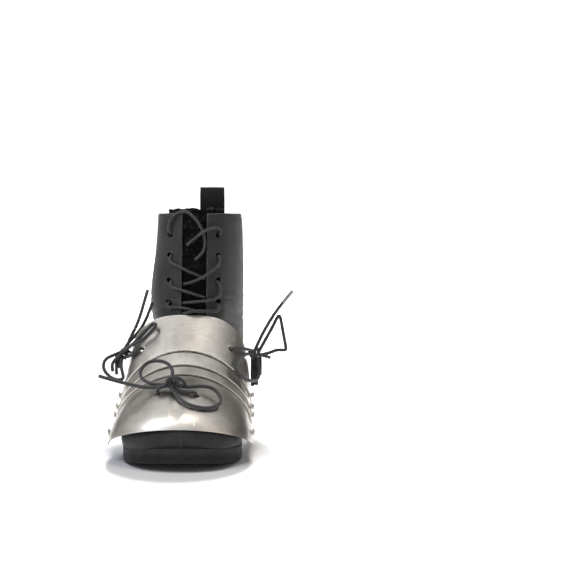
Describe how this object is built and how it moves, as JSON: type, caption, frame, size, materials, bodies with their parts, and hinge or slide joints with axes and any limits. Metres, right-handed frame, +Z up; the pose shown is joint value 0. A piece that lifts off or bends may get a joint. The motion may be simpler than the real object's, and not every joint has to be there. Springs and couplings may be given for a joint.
{
  "type": "sabaton",
  "caption": "Articulated foot armour: overlapping steel lames and a domed toe plate riveted at the sides and tied with cord bows over a laced leather boot with a pull loop.",
  "frame": {"origin": "on the ground under the middle of the part's box, midway between toe and heel of the sole and between the two lower side edges of the steel", "axes": "+Z up, toe along -Y, heel along +Y, +X to the inner side of the right foot"},
  "size_m": [0.191, 0.3051, 0.2432],
  "materials": {
    "steel_plate": "satin brushed steel, lightly hand worked",
    "rivet_steel": "dull steel rivets",
    "boot_leather": "matte charcoal nubuck leather",
    "lining": "black textile padding",
    "sole_rubber": "matte black moulded rubber",
    "welt": "black rubber welt",
    "webbing": "black woven webbing",
    "tab_leather": "black leather strips",
    "cord": "round braided dark waxed cord"
  },
  "bodies": {
    "boot": {"outsole": "sole_rubber", "heel_block": "sole_rubber", "welt": "welt", "insole": "lining", "vamp_inner": "boot_leather", "vamp_outer": "boot_leather", "quarter_inner": "boot_leather", "quarter_outer": "boot_leather", "tongue": "lining", "pull_loop": "webbing", "boot_lace": "cord", "instep_plate": "steel_plate", "rivets_instep": "rivet_steel", "inner_tab": "tab_leather", "outer_tab": "tab_leather", "outer_tie_knot": "cord", "outer_tie_lead": "cord", "outer_tie_tail_long": "cord", "outer_tie_tail_back": "cord", "outer_tie_tail_short": "cord", "outer_tie_loop_up": "cord", "outer_tie_loop_low": "cord", "inner_tie_knot": "cord", "inner_tie_lead": "cord", "inner_tie_tail": "cord", "inner_tie_loop_up": "cord", "inner_tie_loop_low": "cord"},
    "upper_lame": {"lame_upper": "steel_plate", "rivets_upper_lame": "rivet_steel"},
    "lower_lame": {"lame_lower": "steel_plate", "rivets_lower_lame": "rivet_steel"},
    "toe": {"toe_plate": "steel_plate", "rivets_toe": "rivet_steel", "toe_knot": "cord", "toe_loop_outer": "cord", "toe_loop_inner": "cord", "toe_tail": "cord", "toe_lead_outer": "cord", "toe_lead_inner": "cord"}
  },
  "joints": [
    {"name": "instep_articulation", "type": "hinge", "parent": "boot", "child": "upper_lame", "pos_m": [0, -0.02826, 0.04536], "axis": [-1, 0, 0], "range_deg": [0, 5]},
    {"name": "lame_articulation", "type": "hinge", "parent": "upper_lame", "child": "lower_lame", "pos_m": [0, -0.04501, 0.03742], "axis": [-1, 0, 0], "range_deg": [0, 5]},
    {"name": "toe_articulation", "type": "hinge", "parent": "lower_lame", "child": "toe", "pos_m": [0, -0.05793, 0.03213], "axis": [-1, 0, 0], "range_deg": [0, 5]}
  ]
}
